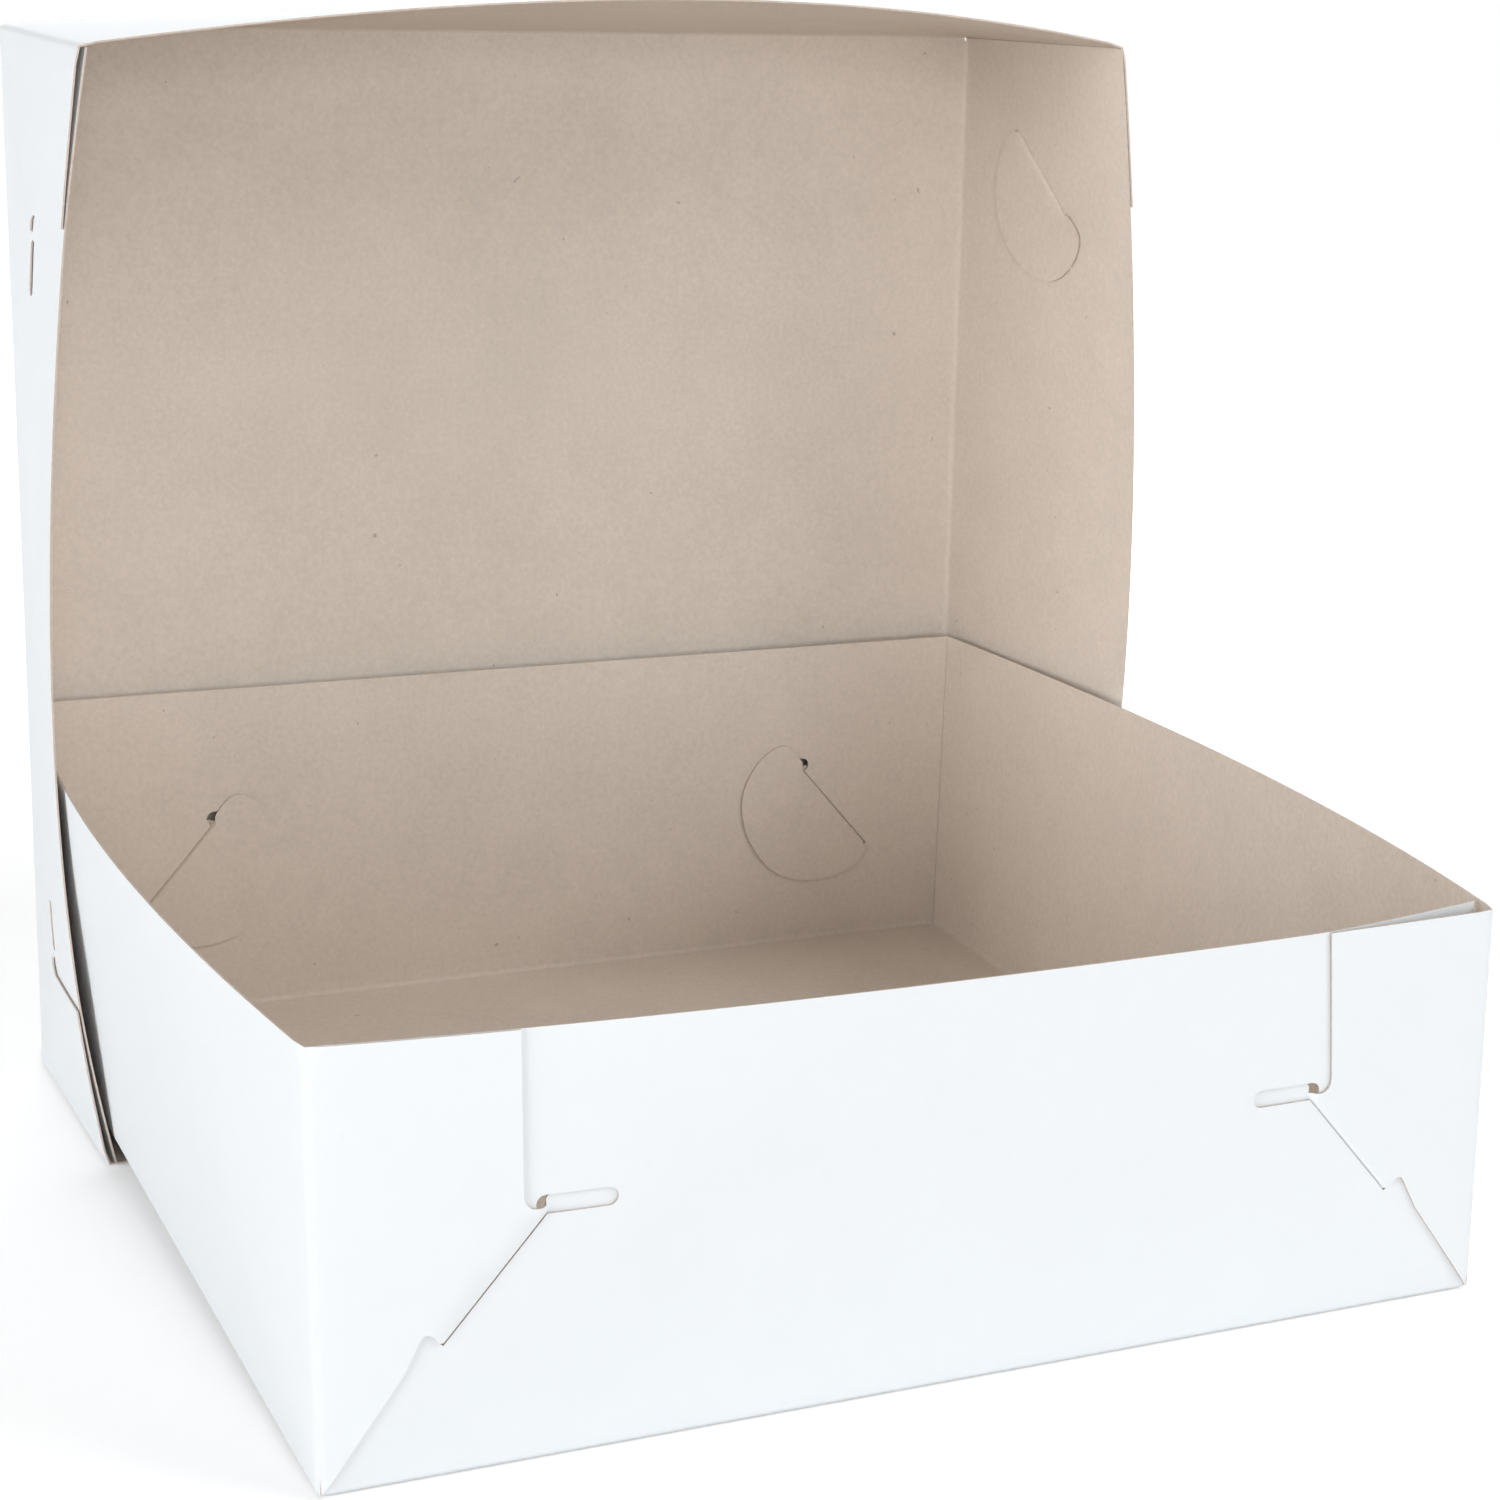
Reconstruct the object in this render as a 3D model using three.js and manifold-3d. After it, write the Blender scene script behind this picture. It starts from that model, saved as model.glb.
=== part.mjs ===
// Cake box of folded paperboard: a lock-corner tray, and the lock-corner cover that stands behind it
// with the tray's rear end inside its mouth. Millimetres, +Z up, the mouth of the cover towards -Y.

import * as THREE from 'three';
import Module from 'manifold-3d';
import { mergeVertices } from 'three/addons/utils/BufferGeometryUtils.js';

const wasm = await Module();
wasm.setup();

// Paperboard
const board = 0.5; // thickness of the sheet
const clearance = 0.3; // air between two layers that lie on each other

// Tray, measured at its foot and up its walls
const trayWidth = 304.8;
const trayDepth = 305.9;
const trayHeight = 103;

// Cover, larger than the tray by the play that lets it slip over
const sidePlay = 2.9; // on each side of the tray
const endPlay = 5; // over the tray's length
const coverHeight = 99.1; // depth of the cover's walls

// How the two stand together
const rearPlay = 2.4; // from the tray's rear foot to the cover's big panel
const archRise = 5.9; // how far the cover's lowest wall arches up under the tray
const coverLean = 0.65; // degrees by which the cover leans over the tray

// How far each rim corner has drifted from its foot, as [x, y]
const trayDrift = {
  frontLeft: [-0.5, 7.4],
  frontRight: [-2.6, 1.3],
  backRight: [-0.9, -2.3],
  backLeft: [-0.7, 0.1],
};
const coverDrift = {
  frontLeft: [1.9, 0.4],
  frontRight: [-0.6, 0.4],
  backRight: [-2.9, -2.8],
  backLeft: [1.9, -0.4],
};

// How far each rim bows out at its crest, and how far the crest lies off the middle
const trayBows = {
  front: { rise: 6.3, skew: 0.26 },
  back: { rise: 0.4, skew: 0 },
  left: { rise: 10.8, skew: -0.09 },
  right: { rise: 10.8, skew: 0.2 },
};
const coverBows = {
  front: { rise: 12.2, skew: 0.16 },
  back: { rise: 12.3, skew: 0.22 },
  left: { rise: -archRise, skew: 0 },
  right: { rise: 12.4, skew: 0.19 },
};
const frontPull = 7; // how far the tray's front rim is drawn in at its right end
const pullReach = 60; // length of rim over which it is drawn in

// Corner lock, measured along the wall from the corner and up from its foot
const flapReach = 48; // length of the corner flap along the rim
const hook = { along: 24.2, up: 35.8 }; // where the flap's lower edge ends
const slitStart = { along: 28, up: 34 };
const slitAngle = 49; // degrees up from the foot
const slitLength = 36;
const slitSpare = 3; // length of slit below the neck
const slitRamp = 3; // width over which the tongue dives through the slit
const slitEase = 1; // how much longer the slit is than the neck that dives through it
const tongueMiddle = 24; // along the slit
const tongueHalf = 26.5; // half the tongue's length along the slit
const tongueDepth = 30; // away from the slit
const slotHeight = 4.6; // of the rounded slot at the slit's top
const slotEnd = 69; // along the wall
const slotUp = 63; // height of the slot's middle line
const slotGap = 1.6; // from the flap's end to the middle of the slot's round end

const layer = board + clearance;
const bead = board * 0.3; // how far a wall runs past the sheet that it is folded from
const overlap = board * 0.2; // how far a sheet runs into the wall that is folded from it
const neckLap = board * 0.5; // how far the tongue's neck runs into the layers on both sides
const neckBoard = board * 0.8; // thickness of the neck, so that its faces end within those layers
const cutThrough = 12; // how far a cutter reaches on each side of a wall
const cutPast = 1; // how far a cutter runs past an edge that it doesn't cut
const fanSteps = 12; // steps of each rim between a corner and its crest
const neckRows = 5;
const neckSteps = 6;
const curveSteps = 10;
const radians = THREE.MathUtils.degToRad;
const lerp = THREE.MathUtils.lerp;

// A closed mesh becomes a solid, whichever way round its faces were listed
function solid(geometry) {
  const bare = geometry.clone();
  bare.deleteAttribute('normal');
  bare.deleteAttribute('uv');
  const merged = mergeVertices(bare, 1e-5);
  const points = merged.attributes.position.array;
  const faces = Uint32Array.from(merged.index.array);
  let volume = 0;
  const [a, b, c] = [new THREE.Vector3(), new THREE.Vector3(), new THREE.Vector3()];
  for (let i = 0; i < faces.length; i += 3) {
    a.fromArray(points, faces[i] * 3);
    b.fromArray(points, faces[i + 1] * 3);
    c.fromArray(points, faces[i + 2] * 3);
    volume += a.dot(b.cross(c));
  }
  if (volume < 0) {
    for (let i = 0; i < faces.length; i += 3) {
      [faces[i + 1], faces[i + 2]] = [faces[i + 2], faces[i + 1]];
    }
  }
  const mesh = new wasm.Mesh({ numProp: 3, vertProperties: Float32Array.from(points), triVerts: faces });
  return new wasm.Manifold(mesh);
}

// A sheet from flat points and triangles: its two faces lie at place(u, v, -1) and place(u, v, 1),
// and a strip closes every edge that only one triangle has
function sheetOf(points, triangles, place) {
  const positions = [-1, 1].flatMap((face) => points.flatMap(([u, v]) => place(u, v, face).toArray()));
  const size = points.length;
  const edges = new Map();
  const faces = [];
  for (const [a, b, c] of triangles) {
    faces.push(a + size, b + size, c + size, a, c, b);
    for (const [from, to] of [[a, b], [b, c], [c, a]]) {
      if (!edges.delete(`${to},${from}`)) {
        edges.set(`${from},${to}`, [from, to]);
      }
    }
  }
  for (const [from, to] of edges.values()) {
    faces.push(from, to, to + size, from, to + size, from + size);
  }
  const geometry = new THREE.BufferGeometry();
  geometry.setAttribute('position', new THREE.Float32BufferAttribute(positions, 3));
  geometry.setIndex(faces);
  return solid(geometry);
}

function gridSheet(us, vs, place) {
  const points = us.flatMap((u) => vs.map((v) => [u, v]));
  const triangles = [];
  for (let i = 0; i + 1 < us.length; i += 1) {
    for (let j = 0; j + 1 < vs.length; j += 1) {
      const corner = i * vs.length + j;
      const next = corner + vs.length;
      triangles.push([corner, next, next + 1], [corner, next + 1, corner + 1]);
    }
  }
  return sheetOf(points, triangles, place);
}

// An outline drawn on a wall and carried straight through it, to cut with
function outlinePrism(shape, place) {
  const options = { depth: 1, bevelEnabled: false, curveSegments: curveSteps };
  const geometry = new THREE.ExtrudeGeometry(shape, options);
  const position = geometry.attributes.position;
  for (let i = 0; i < position.count; i += 1) {
    const side = position.getZ(i) * 2 - 1;
    const point = place(position.getX(i), position.getY(i), side * cutThrough);
    position.setXYZ(i, point.x, point.y, point.z);
  }
  return solid(geometry);
}

function spread(from, to, steps) {
  return Array.from({ length: steps + 1 }, (_, i) => lerp(from, to, i / steps));
}

// A wall between two corners. Board bends one way only, so from each foot corner the rim's bow
// fans down as a cone, and the triangle between the two cones stays flat.
function wallSurface({ start, end, startDrift, endDrift, outward, height, bow, pull }) {
  const length = Math.hypot(end[0] - start[0], end[1] - start[1]);
  const skewed = (share) => share + bow.skew * share * (1 - share);
  const crest = 1 / (1 + bow.skew + Math.hypot(1, bow.skew)); // where skewed is a half
  const rimOut = (share) => {
    const drawn = Math.max(1 - (length * (1 - share)) / pullReach, 0);
    return bow.rise * 4 * skewed(share) * (1 - skewed(share)) - pull * drawn * drawn;
  };
  const place = (along, up, off) => {
    const share = THREE.MathUtils.clamp(along / length, 0, 1);
    const lift = Math.max(up / height, 0);
    let ruling = crest;
    if (share < crest * lift || share === 0) {
      ruling = share / Math.max(lift, share, Number.EPSILON);
    } else if (1 - share < (1 - crest) * lift || share === 1) {
      ruling = 1 - (1 - share) / Math.max(lift, 1 - share, Number.EPSILON);
    }
    const out = off + lift * rimOut(ruling);
    const x = lerp(start[0], end[0], along / length) + lerp(startDrift[0], endDrift[0], ruling) * lift;
    const y = lerp(start[1], end[1], along / length) + lerp(startDrift[1], endDrift[1], ruling) * lift;
    return new THREE.Vector3(x + outward[0] * out, y + outward[1] * out, up);
  };
  return { length, height, crest, place };
}

// A wall's sheet: two fans of triangles with the flat one between them, a foot strip and two end strips
function wallSheet(wall, { from, to, below, centre }) {
  const { length, height, crest, place } = wall;
  const rim = [...spread(from, crest * length, fanSteps), ...spread(crest * length, to, fanSteps).slice(1)];
  const points = [[from, below], [to, below], [from, 0], [to, 0], ...rim.map((along) => [along, height])];
  const triangles = [[0, 1, 3], [0, 3, 2], [2, 3, 4 + fanSteps]];
  for (let i = 0; i < 2 * fanSteps; i += 1) {
    triangles.push([i < fanSteps ? 2 : 3, 5 + i, 4 + i]);
  }
  return sheetOf(points, triangles, (along, up, face) => place(along, up, centre + (face * board) / 2));
}

// The slit runs along its own axis, and the tongue lies across it
const slitAxis = new THREE.Vector2(Math.cos(radians(slitAngle)), Math.sin(radians(slitAngle)));
function fromSlit(along, across) {
  return [
    slitStart.along + slitAxis.x * along + slitAxis.y * across,
    slitStart.up + slitAxis.y * along - slitAxis.x * across,
  ];
}

// The corner flap's body, which ends along the slit
function flapOutline(height) {
  const shape = new THREE.Shape();
  const notch = slotUp - slotHeight / 4;
  const edge = neckLap - slitRamp / 2;
  shape.moveTo(-cutPast, 0);
  shape.lineTo(0, 0);
  shape.lineTo(hook.along, hook.up);
  shape.lineTo(...fromSlit(-neckLap, edge));
  shape.lineTo(...fromSlit(slitLength - slitEase, edge));
  shape.lineTo(flapReach + cutPast, notch);
  shape.lineTo(flapReach, notch + slotHeight / 2);
  shape.lineTo(flapReach, height + cutPast);
  shape.lineTo(-cutPast, height + cutPast);
  return shape;
}

// The tongue is a half oval on the slit's far side, and its head runs on past the slit
function tongueOutline() {
  const shape = new THREE.Shape();
  const edge = slitRamp / 2 - neckLap;
  const turn = radians(slitAngle);
  shape.moveTo(...fromSlit(slitLength, edge));
  shape.lineTo(...fromSlit(tongueMiddle - tongueHalf, edge));
  shape.absellipse(...fromSlit(tongueMiddle, edge), tongueHalf, tongueDepth, Math.PI, 0, false, turn);
  return shape;
}

// The wall's slit, a little longer than the neck that dives through it
function slitOutline() {
  const half = slitRamp / 2;
  const shape = new THREE.Shape();
  shape.moveTo(...fromSlit(-slitSpare, -half));
  shape.lineTo(...fromSlit(-slitSpare, half));
  shape.lineTo(...fromSlit(slitLength + slitEase, half));
  shape.lineTo(...fromSlit(slitLength + slitEase, -half));
  shape.closePath();
  return shape;
}

function slotOutline() {
  const radius = slotHeight / 2;
  const shape = new THREE.Shape();
  const from = flapReach + slotGap;
  shape.moveTo(from, slotUp - radius);
  shape.absarc(slotEnd - radius, slotUp, radius, -Math.PI / 2, Math.PI / 2, false);
  shape.absarc(from, slotUp, radius, Math.PI / 2, Math.PI * 1.5, false);
  return shape;
}

// A corner flap lies outside its neighbour's wall, and its neck dives through the slit to the tongue
// inside. The neck is a little thinner than the layers that it joins, and its edges lie within them.
function cornerFlap(surface, onWall) {
  const ends = { from: -overlap, to: surface.length + overlap, below: -bead };
  const outside = wallSheet(surface, { ...ends, centre: 0 });
  const inside = wallSheet(surface, { ...ends, centre: -2 * layer });
  const body = outside.intersect(outlinePrism(flapOutline(surface.height), onWall));
  const tongue = inside.intersect(outlinePrism(tongueOutline(), onWall));
  const half = slitRamp / 2;
  const rows = spread(0, slitLength - 2 * slitEase, neckRows);
  const columns = spread(-half - neckLap, half + neckLap, neckSteps);
  const neck = gridSheet(rows, columns, (along, across, face) => {
    const depth = 2 * layer * THREE.MathUtils.smoothstep(across, -half, half);
    return onWall(...fromSlit(along, across), (face * neckBoard) / 2 - depth);
  });
  return body.add(neck).add(tongue);
}

// One folded sheet: floor, two walls that carry the corner flaps, and two walls locked by them
function foldedBox({ width, depth, height, drift, bows, pull }) {
  const corner = {
    frontLeft: [0, 0],
    frontRight: [width, 0],
    backRight: [width, depth],
    backLeft: [0, depth],
  };
  const surface = (from, to, outward, bow, drawn) =>
    wallSurface({
      start: corner[from],
      end: corner[to],
      startDrift: drift[from],
      endDrift: drift[to],
      outward,
      height,
      bow,
      pull: drawn,
    });
  const half = board / 2;
  const below = -half - bead;
  const floorInset = layer - half + overlap;
  let sheet = gridSheet([-overlap, width + overlap], [floorInset, depth - floorInset], (x, y, face) =>
    new THREE.Vector3(x, y, face * half));

  const carriers = [
    surface('frontLeft', 'backLeft', [-1, 0], bows.left, 0),
    surface('frontRight', 'backRight', [1, 0], bows.right, 0),
  ];
  for (const wall of carriers) {
    sheet = sheet.add(wallSheet(wall, { from: below, to: wall.length - below, below, centre: 0 }));
  }

  const lockedWalls = [
    ['frontLeft', 'frontRight', [0, -1], bows.front, pull],
    ['backLeft', 'backRight', [0, 1], bows.back, 0],
  ];
  const inset = half + clearance;
  for (const [from, to, outward, bow, drawn] of lockedWalls) {
    const wall = surface(from, to, outward, bow, drawn);
    const outer = surface(from, to, outward, bow, 0);
    let panel = wallSheet(wall, { from: inset, to: wall.length - inset, below, centre: -layer });
    for (const fromEnd of [false, true]) {
      const onWall = (along, up, off) => outer.place(fromEnd ? outer.length - along : along, up, off);
      panel = panel.subtract(outlinePrism(slitOutline(), onWall));
      panel = panel.subtract(outlinePrism(slotOutline(), onWall));
      sheet = sheet.add(cornerFlap(outer, onWall));
    }
    sheet = sheet.add(panel);
  }
  return sheet;
}

// The cover lies on its panel in its own frame, and is stood up on its left wall:
// its x runs up, its y runs towards -X, and its open side faces -Y
function standing(leanDegrees, position) {
  const lean = radians(leanDegrees);
  const up = new THREE.Vector3(0, -Math.sin(lean), Math.cos(lean));
  const across = new THREE.Vector3(-1, 0, 0);
  const forward = new THREE.Vector3().crossVectors(up, across);
  return new THREE.Matrix4().makeBasis(up, across, forward).setPosition(position);
}

function meshOf(name, body, material) {
  const { vertProperties, triVerts } = body.getMesh();
  const geometry = new THREE.BufferGeometry();
  geometry.setAttribute('position', new THREE.Float32BufferAttribute(vertProperties, 3));
  geometry.setIndex(Array.from(triVerts));
  const mesh = new THREE.Mesh(geometry, material);
  mesh.name = name;
  return mesh;
}

const coatedBoard = () => new THREE.MeshStandardMaterial({ color: 0xf1f3f7, roughness: 0.7, metalness: 0 });

const coverWidth = trayWidth + 2 * sidePlay;
const coverLength = trayDepth + endPlay;
const coverBody = foldedBox({
  width: coverLength,
  depth: coverWidth,
  height: coverHeight,
  drift: coverDrift,
  bows: coverBows,
  pull: 0,
});
const trayBody = foldedBox({
  width: trayWidth,
  depth: trayDepth,
  height: trayHeight,
  drift: trayDrift,
  bows: trayBows,
  pull: frontPull,
});

// The tray's front foot is on the table, and its floor rests on the crest of the cover's lowest wall
const leanDrop = Math.sin(radians(coverLean)) * coverHeight;
const panelY = trayDepth + rearPlay;
const rimY = panelY - Math.cos(radians(coverLean)) * coverHeight;
const crestTop = board + coverDrift.frontLeft[0] + archRise - leanDrop;
const footDrop = board / 2 + bead;
const trayTilt = Math.atan((crestTop + clearance - bead) / rimY);

const trayMesh = meshOf('tray', trayBody, coatedBoard());
trayMesh.rotation.x = trayTilt;
trayMesh.position.z = footDrop;

const coverMesh = meshOf('cover', coverBody, coatedBoard());
const coverFoot = new THREE.Vector3(trayWidth + sidePlay, panelY, board / 2);
coverMesh.applyMatrix4(standing(coverLean, coverFoot));

const model = new THREE.Group();
model.name = 'cake_box';
model.add(trayMesh, coverMesh);

// The origin lies under the middle of the whole
const reach = new THREE.Box3().setFromObject(model, true);
const middle = reach.getCenter(new THREE.Vector3());
for (const piece of model.children) {
  piece.position.sub(new THREE.Vector3(middle.x, middle.y, reach.min.z));
}

export default model;
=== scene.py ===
import math
from collections import namedtuple

import bmesh
import bpy
from mathutils import Matrix, Vector
from mathutils.geometry import delaunay_2d_cdt
from mathutils.kdtree import KDTree


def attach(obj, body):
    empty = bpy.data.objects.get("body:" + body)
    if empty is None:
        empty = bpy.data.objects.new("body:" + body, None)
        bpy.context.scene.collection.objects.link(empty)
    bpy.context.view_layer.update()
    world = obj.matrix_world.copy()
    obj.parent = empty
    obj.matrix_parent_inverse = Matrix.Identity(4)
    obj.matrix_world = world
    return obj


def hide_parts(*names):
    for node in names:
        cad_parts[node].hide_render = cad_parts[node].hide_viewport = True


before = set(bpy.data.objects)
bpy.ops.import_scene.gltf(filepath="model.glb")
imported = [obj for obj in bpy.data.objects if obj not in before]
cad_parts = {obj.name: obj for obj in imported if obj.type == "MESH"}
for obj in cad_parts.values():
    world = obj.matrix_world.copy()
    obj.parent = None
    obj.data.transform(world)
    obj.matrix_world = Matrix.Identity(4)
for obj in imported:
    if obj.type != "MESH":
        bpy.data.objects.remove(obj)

bl_info = {
    "name": "Cake box",
    "version": (1, 0, 0),
    "blender": (4, 5, 0),
    "location": "View3D > Sidebar > Cake box",
    "description": "A lock-corner cake box of folded paperboard: its tray and its cover",
    "category": "Add Mesh",
}

# Lengths are in millimetres until a piece is put in its place
MM = 0.001
Board = namedtuple("Board", "thickness crease_radius crease_rows")

# A drift is how far a corner's rim end lies off its foot, and a bow is a wall's rise and skew. A pull
# draws in a locked wall's rim at its start and its end, a reach is a longer flap's, and a slot runs
# between two places.
TRAY = {
    "width": 304.8,
    "depth": 305.9,
    "height": 103.0,
    "drift": {
        "front_left": (-0.5, 7.4),
        "front_right": (-2.6, 1.3),
        "back_right": (-0.9, -2.3),
        "back_left": (-0.7, 0.1),
    },
    "bows": {"front": (6.3, 0.26), "back": (0.4, 0.0), "left": (10.8, -0.09), "right": (10.8, 0.2)},
    "pulls": {"front": (0.0, 7.0), "back": (0.0, 0.0)},
    "reach": {"front_right": 49.8},
    "slot": (52.6, 67.4),
}
COVER = {
    "width": 310.9,
    "depth": 310.6,
    "height": 99.1,
    "drift": {
        "front_left": (1.9, 0.4),
        "front_right": (-0.6, 0.4),
        "back_right": (-2.9, -2.8),
        "back_left": (1.9, -0.4),
    },
    "bows": {"front": (12.2, 0.16), "back": (12.3, 0.22), "left": (-5.9, 0.0), "right": (12.4, 0.19)},
    "pulls": {"front": (0.0, 0.0), "back": (1.6, 1.6)},
    "reach": {},
    "slot": (56.5, 67.4),
}
TRAY_FOOT = Vector((-152.876, -151.863, 0.414))
TRAY_TILT = math.radians(2.0055)
COVER_FOOT = Vector((154.824, 156.437, 0.264))
COVER_LEAN = math.radians(0.65)
PULL_REACH = 54.0
PULL_POWER = 1.3
CLEARANCE = 0.3
END_PLAY = 0.15
CORNER_CUT = 2.42

# The meshes: spacing of points, least area of a face, reach of the weld and angle of a sharp edge
WALL_STEP = 5.0
HOLE_STEP = 1.5
NECK_STEP = 1.8
NECK_ROWS = 6
NEAR_ROW = 0.6
SLIVER = 0.01
WELD = 0.02
SHARP_ANGLE = math.radians(38)
# How far the band of wear, painted highlight and painted shade line reaches from each crease
CREASE_BAND_REACH = 3.0

# The corner lock, along the wall from its corner and up from its foot
FLAP_REACH = 47.3
FLAP_END = ((51.6, 61.5), (50.3, 61.4), (49.1, 61.7), (48.1, 62.5), (47.5, 63.6), (47.3, 65.0))
HOOK = ((19.1, 26.1), (23.2, 33.8), (24.0, 34.9), (24.9, 35.2), (26.0, 34.7), (27.1, 33.5), (27.9, 32.8))
SLIT_START = Vector((28.7, 32.6))
SLIT_ANGLE = math.radians(49)
SLIT_LENGTH = 35.8
SLIT_RAMP = 1.3
SLIT_HALF = 0.5
SLIT_PLAY = 0.6
NECK_END = 37.6
# The tongue's edge, along the slit and across it
TONGUE = (
    (0.0, 0.8), (-1.6, 0.9), (-3.4, 4.4), (-2.6, 11.0), (1.2, 18.9), (8.5, 26.2), (18.1, 30.3), (31.0, 29.4),
    (41.0, 24.8), (46.5, 19.2), (49.4, 12.8), (50.3, 7.0), (49.6, 1.8), (47.5, -1.2), (44.5, -1.9),
    (41.0, -1.9), (38.8, -1.7),
)
# Past the slit the tongue's fold moves across by this much, over this length
TONGUE_SHIFT = 2.4
TONGUE_SHIFT_LENGTH = 2.2
TONGUE_STEPS = 4
# The tongue dives from this place along the slit on, and the rest of the flap doesn't
DIVE_FROM = -5
SLOT_RADIUS = 2.25
SLOT_UP = 62.0
SLOT_STEPS = 8

# The stage: lamps are a name, a place, a width and a power
CAMERA_AT = (-0.309876, -0.736947, 0.318333)
CAMERA_TURN = (76.1627, -0.8541, -23.503)
CAMERA_LENS = 72.144
LAMPS = (
    ("low_front_lamp", (-0.3, -2.4, 0.35), 1.0, 20.5),
    ("high_front_lamp", (-0.5, -2.2, 1.4), 1.0, 2.5),
    ("left_lamp", (-2.3, -0.6, 0.6), 1.2, 33.5),
    ("right_lamp", (1.5, -1.3, 1.5), 1.2, 22.0),
    ("top_lamp", (0.0, 0.2, 2.4), 1.6, 8.0),
    ("side_lamp", (2.5, 0.6, 0.6), 1.2, 16.0),
    ("back_lamp", (0.4, 2.4, 0.8), 1.2, 32.0),
)
LAMPS_AIM = (0, 0, 0.1)
FLOOR_REACH = 6.0
FLOOR_COLOUR = (0.86, 0.86, 0.86, 1.0)
# The floor glows more with distance, so that it ends without a line
GLOW_FROM, GLOW_TO = 0.3, 1.5
GLOW_NEAR, GLOW_FAR = 0.3, 0.95

# How much each surface shows of its fibres and specks, and of the wear with a painted highlight and the
# painted shade line along its creases
FINISHES = {
    "Clay coat": {
        "spread": 0.0175, "clouds": 0.9, "grain": 0.3, "roughness": 0.62, "bump": 0.12,
        "specks": 0.05, "speck_colour": (0.55, 0.53, 0.5),
        "wear_and_highlight": 0.25, "wear_and_highlight_colour": (0.78, 0.79, 0.8), "line": 0.1, "crease_shade_colour": (0.6, 0.58, 0.57),
    },
    "Bare board": {
        "spread": 0.08, "clouds": 0.9, "grain": 2.0, "roughness": 0.85, "bump": 0.35,
        "specks": 0.5, "speck_colour": (0.2, 0.16, 0.13),
        "wear_and_highlight": 0.5, "wear_and_highlight_colour": (0.76, 0.68, 0.6), "line": 0.55, "crease_shade_colour": (0.3, 0.24, 0.2),
    },
    "Cut edge": {
        "spread": 0.18, "clouds": 1.0, "grain": 1.5, "roughness": 0.9, "bump": 0.5,
        "specks": 0.4, "speck_colour": (0.25, 0.2, 0.17),
        "wear_and_highlight": 0.0, "wear_and_highlight_colour": (0.7, 0.62, 0.55), "line": 0.0, "crease_shade_colour": (0.3, 0.24, 0.2),
    },
}


class BoardSettings(bpy.types.PropertyGroup):
    """Sizes and colours of the paperboard."""

    thickness: bpy.props.FloatProperty(
        name="Thickness", description="Thickness of the board", default=0.0005,
        min=0.0002, max=0.0015, precision=5, unit="LENGTH")
    crease_radius: bpy.props.FloatProperty(
        name="Crease radius", description="Radius that the board takes at a fold", default=0.0016,
        min=0.0001, max=0.003, precision=5, unit="LENGTH")
    crease_rows: bpy.props.IntProperty(
        name="Crease rows", description="Rows of points on each side of a fold", default=4, min=1, max=8)
    coat_colour: bpy.props.FloatVectorProperty(
        name="Coat colour", description="Colour of the coat outside", default=(0.815, 0.846, 0.87),
        min=0.0, max=1.0, size=3, subtype="COLOR")
    bare_colour: bpy.props.FloatVectorProperty(
        name="Bare colour", description="Colour of the bare board inside", default=(0.705, 0.63, 0.558),
        min=0.0, max=1.0, size=3, subtype="COLOR")
    edge_colour: bpy.props.FloatVectorProperty(
        name="Edge colour", description="Colour of the cut edges", default=(0.61, 0.51, 0.44),
        min=0.0, max=1.0, size=3, subtype="COLOR")


class StageSettings(bpy.types.PropertyGroup):
    """Levels of the light."""

    world: bpy.props.FloatProperty(
        name="World", description="Light from all around", default=0.17, min=0.0, max=2.0)
    lamps: bpy.props.FloatProperty(
        name="Lamps", description="Share of each lamp's power", default=1.0, min=0.0, max=10.0,
        subtype="FACTOR")


class Graph:
    """Adds nodes to a node tree and links them."""

    def __init__(self, tree):
        self.tree = tree

    def node(self, kind, inputs=None, **settings):
        """A node with its settings, and with its inputs linked or set."""
        node = self.tree.nodes.new(kind)
        for key, value in settings.items():
            setattr(node, key, value)
        for key, value in (inputs or {}).items():
            if isinstance(value, bpy.types.NodeSocket):
                self.tree.links.new(value, node.inputs[key])
            else:
                node.inputs[key].default_value = value
        return node

    def math(self, operation, *values):
        """The result of a Math node."""
        return self.node("ShaderNodeMath", dict(enumerate(values)), operation=operation).outputs[0]

    def vector(self, operation, *values):
        """The result of a Vector Math node."""
        return self.node("ShaderNodeVectorMath", dict(enumerate(values)), operation=operation).outputs[0]

    def scaled(self, vector, scale):
        """A vector times a number."""
        inputs = {"Vector": vector, "Scale": scale}
        return self.node("ShaderNodeVectorMath", inputs, operation="SCALE").outputs[0]

    def ramp(self, value, low, high, start=0.0, end=1.0):
        """A value carried smoothly from one range to another."""
        inputs = {"Value": value, "From Min": low, "From Max": high, "To Min": start, "To Max": end}
        return self.node("ShaderNodeMapRange", inputs, interpolation_type="SMOOTHSTEP").outputs[0]

    def mix(self, factor, first, second):
        """Two colours mixed."""
        node = self.node("ShaderNodeMix", {"Factor": factor}, data_type="RGBA")
        for socket, value in zip(node.inputs[6:8], (first, second)):
            if isinstance(value, bpy.types.NodeSocket):
                self.tree.links.new(value, socket)
            else:
                socket.default_value = (*value, 1.0)
        return node.outputs[2]


def add_socket(tree, name, kind, way="INPUT"):
    """Gives a node group a named input or output."""
    return tree.interface.new_socket(name=name, in_out=way, socket_type="NodeSocket" + kind)


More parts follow.
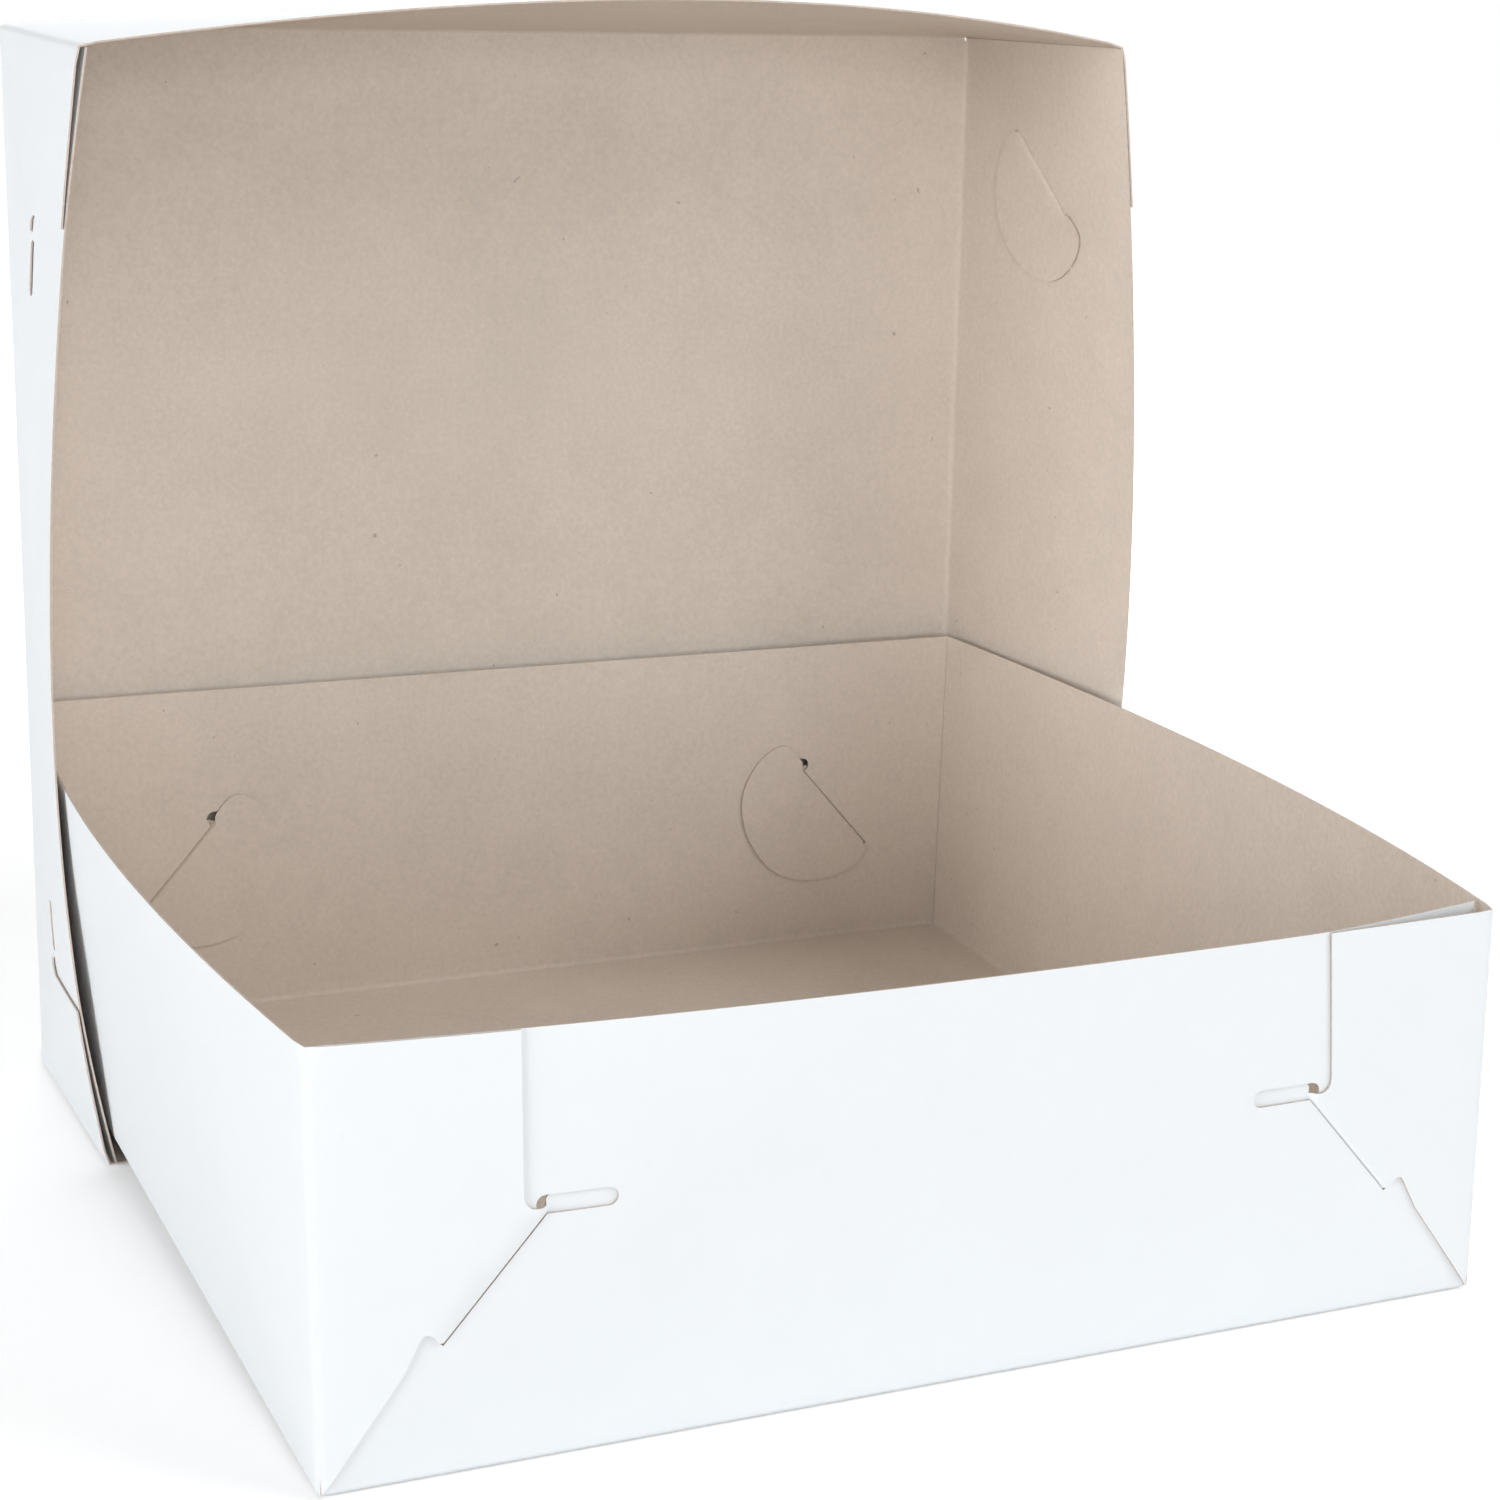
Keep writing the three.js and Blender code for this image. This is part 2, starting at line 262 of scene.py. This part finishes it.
def fold_tree():
    """Geometry Nodes that bend a flat wall as board bends. From each foot corner the rim's bow fans
    down as a cone of straight lines, and the triangle between the two cones stays flat. The wall comes
    in as (along, off, up) with its creases rounded, and its attribute flat is the same without."""
    tree = bpy.data.node_groups.new("Fold wall", "GeometryNodeTree")
    add_socket(tree, "Wall", "Geometry")
    for name in ("Length", "Height", "Rise", "Skew", "Start Pull", "End Pull", "Pull Reach"):
        add_socket(tree, name, "Float")
    for name in ("Start", "End", "Start Drift", "End Drift", "Outward"):
        add_socket(tree, name, "Vector")
    add_socket(tree, "Board", "Material")
    add_socket(tree, "Wall", "Geometry", "OUTPUT")
    g = Graph(tree)
    given = g.node("NodeGroupInput").outputs
    place = g.node("GeometryNodeInputPosition").outputs[0]
    foot_along, foot_off, foot_up = g.node("ShaderNodeSeparateXYZ", {0: place}).outputs
    flat = g.node("GeometryNodeInputNamedAttribute", {"Name": "flat"}, data_type="FLOAT_VECTOR").outputs[0]
    along, _, up = g.node("ShaderNodeSeparateXYZ", {0: flat}).outputs

    tiny = 1e-6
    share = g.math("DIVIDE", along, given["Length"])
    lift = g.math("DIVIDE", up, given["Height"])
    steep = g.math("MAXIMUM", lift, tiny)
    hypot = g.math("SQRT", g.math("MULTIPLY_ADD", given["Skew"], given["Skew"], 1.0))
    crest = g.math("DIVIDE", 1.0, g.math("ADD", g.math("ADD", 1.0, given["Skew"]), hypot))
    near_start = g.math("MINIMUM", g.math("DIVIDE", share, steep), crest)
    rest = g.math("SUBTRACT", 1.0, share)
    near_end = g.math("SUBTRACT", 1.0, g.math("DIVIDE", rest, steep))
    ruling = g.math("MAXIMUM", near_start, near_end)

    opposite = g.math("SUBTRACT", 1.0, ruling)
    skewed = g.math("MULTIPLY_ADD", g.math("MULTIPLY", ruling, opposite), given["Skew"], ruling)
    arch = g.math("MULTIPLY", skewed, g.math("SUBTRACT", 1.0, skewed))
    bow = g.math("MULTIPLY", g.math("MULTIPLY", arch, 4.0), given["Rise"])
    rim_out = bow
    for part, pull in ((ruling, "Start Pull"), (opposite, "End Pull")):
        far = g.math("DIVIDE", g.math("MULTIPLY", part, given["Length"]), given["Pull Reach"])
        drawn = g.math("MAXIMUM", g.math("SUBTRACT", 1.0, far), 0.0)
        drawn_in = g.math("MULTIPLY", g.math("POWER", drawn, PULL_POWER), given[pull])
        rim_out = g.math("SUBTRACT", rim_out, drawn_in)
    out = g.math("MULTIPLY_ADD", lift, rim_out, foot_off)

    span = g.vector("SUBTRACT", given["End"], given["Start"])
    foot = g.vector("ADD", given["Start"], g.scaled(span, g.math("DIVIDE", foot_along, given["Length"])))
    drift_span = g.vector("SUBTRACT", given["End Drift"], given["Start Drift"])
    drift = g.vector("ADD", given["Start Drift"], g.scaled(drift_span, ruling))
    moved = g.vector("ADD", foot, g.scaled(drift, lift))
    moved = g.vector("ADD", moved, g.scaled(given["Outward"], out))
    moved = g.vector("ADD", moved, g.node("ShaderNodeCombineXYZ", {2: foot_up}).outputs[0])

    bent = g.node("GeometryNodeSetPosition", {"Geometry": given["Wall"], "Position": moved})
    real = g.node("GeometryNodeRealizeInstances", {"Geometry": bent.outputs[0]})
    inputs = {"Geometry": real.outputs[0], "Material": given["Board"]}
    coated = g.node("GeometryNodeSetMaterial", inputs)
    g.node("NodeGroupOutput", {0: coated.outputs[0]})
    return tree


def from_slit(along, across):
    """A point on the wall from its place along the slit and across it."""
    cosine, sine = math.cos(SLIT_ANGLE), math.sin(SLIT_ANGLE)
    return SLIT_START + Vector((cosine * along + sine * across, sine * along - cosine * across))


def to_slit(point):
    """A wall point's place along the slit and across it."""
    cosine, sine = math.cos(SLIT_ANGLE), math.sin(SLIT_ANGLE)
    far = point - SLIT_START
    return cosine * far.x + sine * far.y, sine * far.x - cosine * far.y


def smooth_curve(points, steps):
    """A Catmull-Rom curve through points, from the first to the last."""
    ends = [points[0] * 2 - points[1], *points, points[-1] * 2 - points[-2]]
    curve = []
    for a, b, c, d in zip(ends, ends[1:], ends[2:], ends[3:]):
        for i in range(steps):
            t = i / steps
            curve.append(0.5 * (2 * b + (c - a) * t + (2 * a - 5 * b + 4 * c - d) * t * t
                                + (3 * b - a - 3 * c + d) * t * t * t))
    return [*curve, points[-1]]


def ring(corners, step):
    """A closed outline with points no further apart than step."""
    points = []
    for a, b in zip(corners, corners[1:] + corners[:1]):
        count = max(math.ceil((b - a).length / step - 1e-4), 1)
        points += [a.lerp(b, i / count) for i in range(count)]
    return points


def within(point, outline):
    """Whether a point lies inside an outline."""
    inside = False
    for a, b in zip(outline, outline[1:] + outline[:1]):
        if (a.y > point.y) != (b.y > point.y) and point.x < a.x + (b.x - a.x) * (point.y - a.y) / (b.y - a.y):
            inside = not inside
    return inside


def lattice(outline, step):
    """Points in a triangular pattern that covers an outline."""
    low = Vector((min(p.x for p in outline), min(p.y for p in outline)))
    high = Vector((max(p.x for p in outline), max(p.y for p in outline)))
    rise = step * math.sqrt(0.75)
    rows = int((high.y - low.y) / rise) + 1
    columns = int((high.x - low.x) / step) + 1
    return [low + Vector(((column + 0.5 * (row % 2)) * step, row * rise))
            for row in range(rows) for column in range(columns)]


def beside_creases(loop, creases, board):
    """Rows of points beside a panel's creases, each given by a point on it and the way into the panel."""
    rows = []
    for point in loop:
        for at, way in creases:
            if abs((point - at).dot(way)) < 1e-3:
                rows += [point + way * (board.crease_radius * (i + 1) / board.crease_rows)
                         for i in range(board.crease_rows)]
    return rows


def rounded(place, low, high, radius):
    """A point of a box's faces once its edges are rounded. A side that low or high leaves open is None."""
    core = place.copy()
    for axis in range(3):
        if low[axis] is not None:
            core[axis] = max(core[axis], low[axis] + radius)
        if high[axis] is not None:
            core[axis] = min(core[axis], high[axis] - radius)
    out = place - core
    return core + out.normalized() * radius if out.length > 1e-9 else place


def panel_mesh(name, outline, board, low, high, holes=(), creases=(), rows=(), off=0.0, dive=None):
    """A panel of small triangles, with its holes left open and its edges rounded towards low and high.
    It lies at off, and dive gives what a point stands out from there."""
    step = WALL_STEP
    loops = [ring(outline, step), *(ring(hole, HOLE_STEP) for hole in holes)]
    points, edges = [], []
    for loop in loops:
        first = len(points)
        points += loop
        edges += [(first + i, first + (i + 1) % len(loop)) for i in range(len(loop))]
    rows = [*rows, *beside_creases(loops[0], creases, board)]
    points += [point for point in rows if within(point, outline)]
    near = KDTree(len(points))
    for i, point in enumerate(points):
        near.insert(point.to_3d(), i)
    near.balance()
    points += [point for point in lattice(outline, step)
               if within(point, outline) and near.find(point.to_3d())[2] > step * NEAR_ROW]
    flat, _, faces, *_ = delaunay_2d_cdt(points, edges, [], 0, 1e-4)
    kept = []
    for face in faces:
        middle = sum((flat[i] for i in face), Vector((0.0, 0.0))) / len(face)
        a, b, c = (flat[i] for i in face)
        if abs((b - a).cross(c - a)) < SLIVER or not within(middle, outline):
            continue
        if not any(within(middle, hole) for hole in holes):
            kept.append(face)
    places = [Vector((p.x, off, p.y)) for p in flat]
    shaped = [rounded(place, low, high, board.crease_radius) for place in places]
    if dive:
        for place, point in zip(shaped, flat):
            place.y += dive(point)
    mesh = bpy.data.meshes.new(name)
    mesh.from_pydata(shaped, [], kept)
    unrounded = mesh.attributes.new("flat", "FLOAT_VECTOR", "POINT")
    for value, place in zip(unrounded.data, places):
        value.vector = place
    return mesh


def flap_outline(height, reach, mirror):
    """The corner flap with its neck and tongue, as one outline. It lies from the corner along the wall."""
    half = SLIT_RAMP / 2
    body = [Vector((0, 0)), *(Vector(p) for p in HOOK), from_slit(0, -half)]
    tongue = smooth_curve([from_slit(*p) for p in TONGUE], TONGUE_STEPS)
    end = [from_slit(NECK_END, -half), *(Vector(p) for p in FLAP_END)]
    end += [Vector((reach, height)), Vector((0, height))]
    return [mirror(point) for point in [*body, *tongue, *end]]


def neck_rows(mirror):
    """Rows of points across the neck, where it dives through the slit."""
    half = SLIT_RAMP / 2
    count = round(NECK_END / NECK_STEP)
    return [mirror(from_slit(NECK_END * i / count, -half + SLIT_RAMP * j / NECK_ROWS))
            for i in range(count + 1) for j in range(NECK_ROWS + 1)]


def lock_holes(mirror, slot_ends):
    """The slit and the rounded slot at its top."""
    low, high = -SLIT_PLAY, SLIT_LENGTH + SLIT_PLAY
    slit = [from_slit(low, -SLIT_HALF), from_slit(low, SLIT_HALF),
            from_slit(high, SLIT_HALF), from_slit(high, -SLIT_HALF)]
    slot = []
    for middle, turn in ((slot_ends[1], -0.5), (slot_ends[0], 0.5)):
        for i in range(SLOT_STEPS + 1):
            angle = math.pi * (turn + i / SLOT_STEPS)
            turned = Vector((math.cos(angle), math.sin(angle)))
            slot.append(Vector((middle, SLOT_UP)) + SLOT_RADIUS * turned)
    return [[mirror(point) for point in slit], [mirror(point) for point in slot]]


def foot_corners(box):
    """The corners of a box's floor, by name, in the order around it."""
    width, depth = box["width"], box["depth"]
    return {
        "front_left": (0, 0),
        "front_right": (width, 0),
        "back_right": (width, depth),
        "back_left": (0, depth),
    }


def folded_sheet(name, box, board, tree, coat):
    """One folded box as a single sheet without thickness, in its own frame."""
    width, depth, height = box["width"], box["depth"], box["height"]
    layer = board.thickness + CLEARANCE
    corners = foot_corners(box)
    sheet = bmesh.new()

    def fold(mesh, start, end, outward, bow, pulls=(0.0, 0.0)):
        """Bends a flat panel with the node tree and adds it to the sheet."""
        piece = bpy.data.objects.new(mesh.name, mesh)
        bpy.context.scene.collection.objects.link(piece)
        modifier = piece.modifiers.new("Fold wall", "NODES")
        modifier.node_group = tree
        sockets = {item.name: item.identifier for item in tree.interface.items_tree if item.in_out == "INPUT"}
        foot = [Vector((*corners[corner], 0)) for corner in (start, end)]
        drift = [Vector((*box["drift"][corner], 0)) for corner in (start, end)]
        values = {
            "Length": (foot[1] - foot[0]).length,
            "Height": height,
            "Rise": bow[0],
            "Skew": bow[1],
            "Start Pull": pulls[0],
            "End Pull": pulls[1],
            "Pull Reach": PULL_REACH,
            "Start": foot[0],
            "End": foot[1],
            "Start Drift": drift[0],
            "End Drift": drift[1],
            "Outward": Vector((*outward, 0)),
            "Board": coat,
        }
        for key, value in values.items():
            modifier[sockets[key]] = value
        shaped = piece.evaluated_get(bpy.context.evaluated_depsgraph_get())
        result = bpy.data.meshes.new_from_object(shaped)
        sheet.from_mesh(result)
        bpy.data.objects.remove(piece)
        bpy.data.meshes.remove(mesh)
        bpy.data.meshes.remove(result)

    bows = box["bows"]
    cut = CORNER_CUT
    carriers = (("left", "front_left", "back_left", (-1, 0)), ("right", "front_right", "back_right", (1, 0)))
    for side, start, end, outward in carriers:
        corner_points = ((0, 0), (cut, 0), (depth - cut, 0), (depth, 0), (depth, height), (0, height))
        creases = [(Vector((0, 0)), Vector((0, 1))), (Vector((0, 0)), Vector((1, 0))),
                   (Vector((depth, 0)), Vector((-1, 0)))]
        # Off runs outwards, so the box lies on its low side
        wall = panel_mesh(f"{name} {side} wall", [Vector(p) for p in corner_points], board,
                          (0, None, 0), (depth, 0, None), creases=creases)
        fold(wall, start, end, outward, bows[side])

    inset = board.thickness / 2 + CLEARANCE + END_PLAY
    locked = (("front", "front_left", "front_right", (0, -1)), ("back", "back_left", "back_right", (0, 1)))
    for side, start, end, outward in locked:
        corner_points = ((inset, 0), (cut, 0), (width - cut, 0), (width - inset, 0), (width - inset, height),
                         (inset, height))
        mirrors = [lambda point: point.copy(), lambda point: Vector((width - point.x, point.y))]
        holes = [hole for mirror in mirrors for hole in lock_holes(mirror, box["slot"])]
        wall = panel_mesh(f"{name} {side} wall", [Vector(p) for p in corner_points], board,
                          (None, None, 0), (None, -layer, None), holes=holes,
                          creases=[(Vector((0, 0)), Vector((0, 1)))], off=-layer)
        fold(wall, start, end, outward, bows[side], box["pulls"][side])
        for mirror, corner in zip(mirrors, (start, end)):
            def dive(point):
                along, across = to_slit(mirror(point))
                past = min(max((along - SLIT_LENGTH) / TONGUE_SHIFT_LENGTH, 0.0), 1.0)
                t = min(max((across + past * TONGUE_SHIFT) / SLIT_RAMP + 0.5, 0.0), 1.0)
                return -2 * layer * t * t * (3 - 2 * t) if along > DIVE_FROM else 0.0

            reach = box["reach"].get(corner, FLAP_REACH)
            crease = (mirror(Vector((0, 0))), mirror(Vector((1, 0))) - mirror(Vector((0, 0))))
            flap = panel_mesh(f"{name} {side} flap", flap_outline(height, reach, mirror), board,
                              (0, None, 0), (width, 0, None), creases=[crease], rows=neck_rows(mirror),
                              dive=dive)
            fold(flap, start, end, outward, bows[side])

    corner_points = ((0, cut), (cut, layer), (width - cut, layer), (width, cut), (width, depth - cut),
                     (width - cut, depth - layer), (cut, depth - layer), (0, depth - cut))
    creases = [(Vector((0, 0)), Vector((1, 0))), (Vector((width, 0)), Vector((-1, 0))),
               (Vector((0, layer)), Vector((0, 1))), (Vector((0, depth - layer)), Vector((0, -1)))]
    # The floor comes in as (x, z, y)
    floor = panel_mesh(f"{name} floor", [Vector(p) for p in corner_points], board,
                       (0, 0, layer), (width, None, depth - layer), creases=creases)
    for vertex in floor.vertices:
        vertex.co = vertex.co.xzy
    sheet.from_mesh(floor)
    bpy.data.meshes.remove(floor)
    return sheet


def creases_of(box):
    """The lines that a box is folded along, in its own frame."""
    foot = {name: Vector((*place, 0)) for name, place in foot_corners(box).items()}
    lines = []
    names = list(foot)
    for name, following in zip(names, names[1:] + names[:1]):
        lines.append((foot[name], foot[following]))
        lines.append((foot[name], foot[name] + Vector((*box["drift"][name], box["height"]))))
    return lines


def folded_piece(name, box, settings, place):
    """A folded box of board, with rounded creases and cut edges, at its place in the row frame."""
    thickness, radius = (round(length / MM, 4) for length in (settings.thickness, settings.crease_radius))
    board = Board(thickness, radius, settings.crease_rows)
    materials = board_materials(settings)
    tree = bpy.data.node_groups.get("Fold wall") or fold_tree()
    sheet = folded_sheet(name, box, board, tree, materials[0])
    bmesh.ops.remove_doubles(sheet, verts=sheet.verts, dist=WELD)
    bmesh.ops.recalc_face_normals(sheet, faces=sheet.faces)
    floor = [face for face in sheet.faces if abs(face.normal.z) > 0.99]
    if sum(face.normal.z * face.calc_area() for face in floor) > 0:
        bmesh.ops.reverse_faces(sheet, faces=sheet.faces)
    mesh = bpy.data.meshes.new(name)
    sheet.to_mesh(mesh)
    sheet.free()

    piece = bpy.data.objects.new(name, mesh)
    bpy.context.scene.collection.objects.link(piece)
    for material in materials:
        mesh.materials.append(material)
    solid = piece.modifiers.new("Board", "SOLIDIFY")
    solid.thickness = board.thickness
    solid.offset = 0.0
    solid.use_even_offset = True
    solid.use_quality_normals = True
    solid.material_offset = 1
    solid.material_offset_rim = 2
    shaped = piece.evaluated_get(bpy.context.evaluated_depsgraph_get())
    result = bpy.data.meshes.new_from_object(shaped)
    piece.modifiers.clear()
    piece.data = result
    result.name = name
    bpy.data.meshes.remove(mesh)

    # Nearness to a crease, which sets the band of wear and painted highlight and the painted shade line
    crease_nearness = result.attributes.new("crease", "FLOAT", "POINT")
    lines = creases_of(box)
    for vertex, value in zip(result.vertices, crease_nearness.data):
        reach = min(distance_to(vertex.co, *line) for line in lines)
        value.value = max(1 - reach / CREASE_BAND_REACH, 0.0)
    result.transform(place @ Matrix.Scale(MM, 4))
    result.shade_smooth()
    result.set_sharp_from_angle(angle=SHARP_ANGLE)
    return piece


def distance_to(point, start, end):
    """How far a point lies from a line between two points."""
    along = end - start
    share = min(max((point - start).dot(along) / along.length_squared, 0.0), 1.0)
    return (point - start - along * share).length


def board_group():
    """What all the board shows: cloudy formation, fine grain and stray fibres."""
    tree = bpy.data.node_groups.new("Board fibres", "ShaderNodeTree")
    add_socket(tree, "Clouds", "Float", "OUTPUT")
    add_socket(tree, "Grain", "Float", "OUTPUT")
    add_socket(tree, "Specks", "Float", "OUTPUT")
    g = Graph(tree)
    place = g.node("ShaderNodeTexCoord").outputs["Object"]
    clouds = g.node("ShaderNodeTexNoise", {"Vector": place, "Scale": 42.0, "Detail": 5.0, "Roughness": 0.6})
    grain = g.node("ShaderNodeTexNoise", {"Vector": place, "Scale": 650.0, "Detail": 4.0, "Roughness": 0.7})
    bent = g.node("ShaderNodeTexNoise", {"Vector": place, "Scale": 260.0, "Detail": 2.0})
    shift = g.scaled(g.vector("SUBTRACT", bent.outputs["Color"], (0.5, 0.5, 0.5)), 0.006)
    cells = g.node("ShaderNodeTexVoronoi", {"Vector": g.vector("ADD", place, shift), "Scale": 130.0})
    chance = g.node("ShaderNodeSeparateColor", {0: cells.outputs["Color"]}).outputs[0]
    size = g.math("MULTIPLY", g.math("POWER", chance, 3.0), 0.09)
    share = g.math("DIVIDE", cells.outputs["Distance"], g.math("MAXIMUM", size, 1e-4))
    specks = g.ramp(share, 0.5, 1.2, 1.0, 0.0)
    g.node("NodeGroupOutput", {"Clouds": clouds.outputs[0], "Grain": grain.outputs[0], "Specks": specks})
    return tree


def board_material(name, colour, finish):
    """A board surface: a colour that varies with the fibres and specks, a band of wear along the creases that
    is a painted highlight on the bare board, a painted dark shade line along them, and a fine bump."""
    material = bpy.data.materials.new(name)
    material.use_nodes = True
    tree = material.node_tree
    tree.nodes.clear()
    g = Graph(tree)
    group = bpy.data.node_groups.get("Board fibres") or board_group()
    fibres = g.node("ShaderNodeGroup", node_tree=group).outputs
    crease = g.node("ShaderNodeAttribute", attribute_name="crease").outputs["Fac"]
    blend = g.math("MULTIPLY_ADD", g.math("SUBTRACT", fibres["Clouds"], 0.5), finish["clouds"], 0.5)
    blend = g.math("MULTIPLY_ADD", g.math("SUBTRACT", fibres["Grain"], 0.5), finish["grain"], blend)
    dark, light = ([channel * (1 + sign * finish["spread"]) for channel in colour] for sign in (-1, 1))
    shade = g.mix(blend, dark, light)
    shade = g.mix(g.math("MULTIPLY", fibres["Specks"], finish["specks"]), shade, finish["speck_colour"])
    # Along the creases, wear that on the bare board is a painted highlight, lighter than the board
    wear_and_highlight = g.math("MULTIPLY", g.ramp(crease, 0.35, 0.95), finish["wear_and_highlight"])
    shade = g.mix(g.math("MULTIPLY", wear_and_highlight, g.ramp(fibres["Grain"], 0.3, 0.6)), shade, finish["wear_and_highlight_colour"])
    # A painted dark shade line along each crease
    line = g.math("MULTIPLY", g.ramp(crease, 0.66, 0.77), finish["line"])
    shade = g.mix(line, shade, finish["crease_shade_colour"])
    rough = g.math("MULTIPLY_ADD", fibres["Grain"], 0.12, finish["roughness"] - 0.06)
    bump = {"Strength": finish["bump"], "Distance": 0.0001, "Height": fibres["Grain"]}
    normal = g.node("ShaderNodeBump", bump).outputs[0]
    inputs = {"Base Color": shade, "Roughness": rough, "Normal": normal, "Specular IOR Level": 0.12}
    surface = g.node("ShaderNodeBsdfPrincipled", inputs)
    g.node("ShaderNodeOutputMaterial", {"Surface": surface.outputs[0]})
    return material


def board_materials(settings):
    """The coat outside, the bare board inside and the cut edge."""
    colours = (settings.coat_colour, settings.bare_colour, settings.edge_colour)
    return [bpy.data.materials.get(name) or board_material(name, colour, finish)
            for (name, finish), colour in zip(FINISHES.items(), colours)]


class CAKEBOX_OT_tray(bpy.types.Operator):
    """Build the tray."""

    bl_idname = "cakebox.tray"
    bl_label = "Build tray"

    def execute(self, context):
        place = Matrix.Translation(TRAY_FOOT * MM) @ Matrix.Rotation(TRAY_TILT, 4, "X")
        piece = folded_piece("tray_sheet", TRAY, context.scene.cakebox_board, place)
        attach(piece, "root")
        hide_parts("tray")
        return {"FINISHED"}


class CAKEBOX_OT_cover(bpy.types.Operator):
    """Build the cover, standing on one of its walls."""

    bl_idname = "cakebox.cover"
    bl_label = "Build cover"

    def execute(self, context):
        up = Vector((0, -math.sin(COVER_LEAN), math.cos(COVER_LEAN)))
        across = Vector((-1, 0, 0))
        turn = Matrix((up, across, up.cross(across))).transposed().to_4x4()
        place = Matrix.Translation(COVER_FOOT * MM) @ turn
        piece = folded_piece("cover_sheet", COVER, context.scene.cakebox_board, place)
        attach(piece, "root")
        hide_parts("cover")
        return {"FINISHED"}


def seen_by_eye(g):
    """1 for rays from the camera, and for those that a gloss or a clear thing sends on."""
    rays = g.node("ShaderNodeLightPath").outputs
    seen = g.math("MAXIMUM", rays["Is Camera Ray"], rays["Is Glossy Ray"])
    return g.math("MAXIMUM", seen, rays["Is Transmission Ray"])


def add_lamp(name, at, size, energy):
    """A square soft lamp that shines at the box."""
    lamp = bpy.data.lights.new(name, "AREA")
    lamp.size = size
    lamp.energy = energy
    holder = bpy.data.objects.new(name, lamp)
    holder.location = at
    holder.rotation_euler = (Vector(LAMPS_AIM) - Vector(at)).to_track_quat("-Z", "Y").to_euler()
    bpy.context.scene.collection.objects.link(holder)


class CAKEBOX_OT_stage(bpy.types.Operator):
    """Set up the floor, the light and the camera."""

    bl_idname = "cakebox.stage"
    bl_label = "Set up stage"

    def execute(self, context):
        scene = context.scene
        levels = scene.cakebox_stage
        scene.view_settings.view_transform = "Standard"

        mesh = bpy.data.meshes.new("floor")
        far = FLOOR_REACH
        mesh.from_pydata([(-far, -far, 0), (far, -far, 0), (far, far, 0), (-far, far, 0)], [], [(0, 1, 2, 3)])
        floor = bpy.data.objects.new("floor", mesh)
        scene.collection.objects.link(floor)
        material = bpy.data.materials.new("Floor")
        material.use_nodes = True
        material.node_tree.nodes.clear()
        g = Graph(material.node_tree)
        paper = g.node("ShaderNodeBsdfDiffuse", {"Color": FLOOR_COLOUR})
        place = g.node("ShaderNodeTexCoord").outputs["Object"]
        away = g.node("ShaderNodeVectorMath", {0: place}, operation="LENGTH").outputs["Value"]
        level = g.ramp(away, GLOW_FROM, GLOW_TO, GLOW_NEAR, GLOW_FAR)
        glow = g.node("ShaderNodeEmission", {"Strength": g.math("MULTIPLY", seen_by_eye(g), level)})
        both = g.node("ShaderNodeAddShader", {0: paper.outputs[0], 1: glow.outputs[0]})
        g.node("ShaderNodeOutputMaterial", {"Surface": both.outputs[0]})
        mesh.materials.append(material)

        world = bpy.data.worlds.new("Studio")
        world.use_nodes = True
        world.node_tree.nodes.clear()
        g = Graph(world.node_tree)
        strength = g.math("MULTIPLY_ADD", seen_by_eye(g), 1.0 - levels.world, levels.world)
        sky = g.node("ShaderNodeBackground", {"Color": (1.0, 1.0, 1.0, 1.0), "Strength": strength})
        g.node("ShaderNodeOutputWorld", {"Surface": sky.outputs[0]})
        scene.world = world

        for name, at, size, energy in LAMPS:
            add_lamp(name, at, size, energy * levels.lamps)

        lens = bpy.data.cameras.new("camera")
        lens.lens = CAMERA_LENS
        lens.sensor_width = 36.0
        lens.clip_start = 0.01
        camera = bpy.data.objects.new("camera", lens)
        camera.location = CAMERA_AT
        camera.rotation_euler = [math.radians(angle) for angle in CAMERA_TURN]
        scene.collection.objects.link(camera)
        scene.camera = camera
        return {"FINISHED"}


class CAKEBOX_PT_panel(bpy.types.Panel):
    """Buttons for the cake box."""

    bl_label = "Cake box"
    bl_space_type = "VIEW_3D"
    bl_region_type = "UI"
    bl_category = "Cake box"

    def draw(self, context):
        for settings in (context.scene.cakebox_board, context.scene.cakebox_stage):
            for name in type(settings).__annotations__:
                self.layout.prop(settings, name)
        for operator in (CAKEBOX_OT_tray, CAKEBOX_OT_cover, CAKEBOX_OT_stage):
            self.layout.operator(operator.bl_idname)


CLASSES = (
    BoardSettings,
    StageSettings,
    CAKEBOX_OT_tray,
    CAKEBOX_OT_cover,
    CAKEBOX_OT_stage,
    CAKEBOX_PT_panel,
)


def register():
    for cls in CLASSES:
        bpy.utils.register_class(cls)
    bpy.types.Scene.cakebox_board = bpy.props.PointerProperty(type=BoardSettings)
    bpy.types.Scene.cakebox_stage = bpy.props.PointerProperty(type=StageSettings)


def unregister():
    del bpy.types.Scene.cakebox_stage
    del bpy.types.Scene.cakebox_board
    for cls in reversed(CLASSES):
        bpy.utils.unregister_class(cls)


def main():
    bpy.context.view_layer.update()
    register()
    bpy.ops.cakebox.tray()
    bpy.ops.cakebox.cover()
    bpy.ops.cakebox.stage()


if __name__ == "__main__":
    main()
